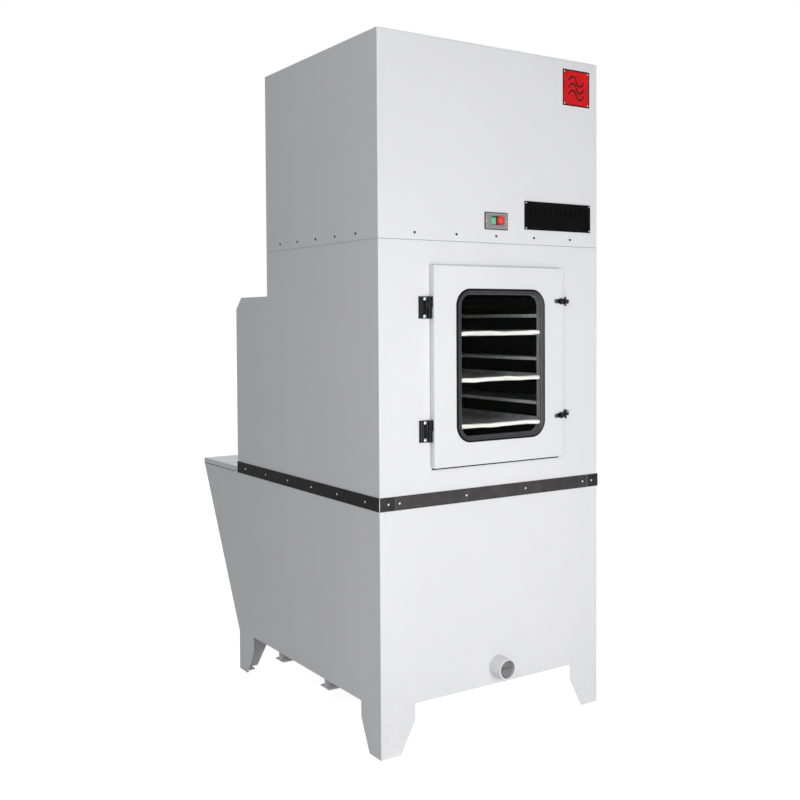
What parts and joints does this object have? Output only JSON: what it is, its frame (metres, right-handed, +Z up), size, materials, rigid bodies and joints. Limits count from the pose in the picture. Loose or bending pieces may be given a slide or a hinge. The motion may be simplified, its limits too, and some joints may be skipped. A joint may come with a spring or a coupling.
{
  "type": "wet dust collector",
  "caption": "Tall white steel cabinet that washes dust from air: fan section on top, windowed door with cascade trays, and a water tank on legs with a sloped back.",
  "frame": {"origin": "on the floor, under the middle of the whole outline", "axes": "+Z up, -Y the way the door faces, +X to the right as seen from the front"},
  "size_m": [1.01, 1.612, 2.48],
  "materials": {
    "white_paint": "white powder coat, smooth satin",
    "strip_rubber": "matte extruded rubber strip",
    "black_rubber": "moulded rubber, slightly glossy",
    "black_metal": "black coated metal",
    "white_foam": "soft white foam rubber",
    "clear_glass": "toughened flat glass",
    "retainer_grey": "grey coated frame",
    "tray_dark": "dark grey coated steel, wet look",
    "tray_light": "grey coated steel",
    "zinc": "bright zinc plating",
    "dark_screw": "dark plated steel",
    "galvanised": "galvanised sheet steel",
    "switch_grey": "grey moulded plastic",
    "green_plastic": "green push button",
    "red_plastic": "red push button",
    "grille_black": "black moulded plastic",
    "plate_red": "red enamelled plate with a black border",
    "plug_metal": "grey cast metal",
    "motor_paint": "blue-grey machine paint",
    "pump_iron": "dark coated cast iron",
    "vane_plastic": "light grey plastic vanes"
  },
  "bodies": {
    "cabinet": {"tank_front_panel": "white_paint", "tank_left_panel": "white_paint", "tank_right_panel": "white_paint", "tank_sloped_back": "white_paint", "tank_floor": "white_paint", "tank_underframe": "white_paint", "foot_plates": "white_paint", "rear_ledge": "white_paint", "tank_rim_seal": "black_rubber", "drain_socket": "white_paint", "joint_strip_front": "strip_rubber", "joint_strip_sides": "strip_rubber", "bright_fasteners": "zinc", "washer_front_panel": "white_paint", "washer_left_panel": "white_paint", "washer_right_panel": "white_paint", "plenum_partition": "white_paint", "plenum_back_panel": "white_paint", "plenum_roof": "white_paint", "inlet_sockets": "white_paint", "left_trays": "tray_dark", "right_trays": "tray_light", "mist_eliminator": "vane_plastic", "wash_pipe": "pump_iron", "circulation_pump": "pump_iron", "hinge_leaves": "black_metal", "hinge_pins": "zinc", "latch_keepers": "black_metal", "top_front_panel": "white_paint", "top_left_panel": "white_paint", "top_right_panel": "white_paint", "top_back_panel": "white_paint", "roof_panel": "white_paint", "seam_screws": "dark_screw", "switch_housing": "switch_grey", "vent_grille": "grille_black", "nameplate": "plate_red", "fan_deck": "galvanised", "fan_deck_edges": "galvanised", "fan_inlet_ring": "galvanised", "fan_scroll": "galvanised", "motor": "motor_paint"},
    "door": {"door_panel": "white_paint", "window_gasket": "black_rubber", "window_glass": "clear_glass", "window_retainer": "retainer_grey", "tray_seal_strips": "white_foam", "door_seal": "black_rubber", "door_hinge_leaves": "black_metal", "latch_bases": "black_metal"},
    "upper_latch": {"upper_latch_arm": "black_rubber"},
    "lower_latch": {"lower_latch_arm": "black_rubber"},
    "lid": {"tank_lid": "white_paint", "lid_fittings": "zinc"},
    "fan": {"fan_hub": "galvanised", "fan_shroud": "galvanised", "fan_blades": "galvanised"},
    "start": {"start_button": "green_plastic"},
    "stop": {"stop_button": "red_plastic"},
    "plug": {"drain_plug": "plug_metal"}
  },
  "joints": [
    {"name": "door_swing", "type": "hinge", "parent": "cabinet", "child": "door", "pos_m": [-0.2995, -0.754, 1.3], "axis": [0, 0, -1], "range_deg": [0, 110]},
    {"name": "upper_latch_swing", "type": "hinge", "parent": "door", "child": "upper_latch", "pos_m": [0.288, -0.778, 1.568], "axis": [0, 0, -1], "range_deg": [0, 150]},
    {"name": "lower_latch_swing", "type": "hinge", "parent": "door", "child": "lower_latch", "pos_m": [0.28807, -0.778, 1.14075], "axis": [0.1045, 0, -0.9945], "range_deg": [0, 150]},
    {"name": "lid_lift", "type": "hinge", "parent": "cabinet", "child": "lid", "pos_m": [0, 0.4335, 0.88], "axis": [1, 0, 0], "range_deg": [0, 95]},
    {"name": "fan_spin", "type": "hinge", "parent": "cabinet", "child": "fan", "pos_m": [-0.07, -0.345, 1.9], "axis": [0, 0, 1], "continuous": true},
    {"name": "start_press", "type": "slide", "parent": "cabinet", "child": "start", "axis": [0, 1, 0], "range_m": [0, 0.0035], "stiffness_N_per_m": 400},
    {"name": "stop_press", "type": "slide", "parent": "cabinet", "child": "stop", "axis": [0, 1, 0], "range_m": [0, 0.004], "stiffness_N_per_m": 400},
    {"name": "drain_plug_out", "type": "slide", "parent": "cabinet", "child": "plug", "axis": [0, -1, 0], "range_m": [0, 0.06]}
  ]
}
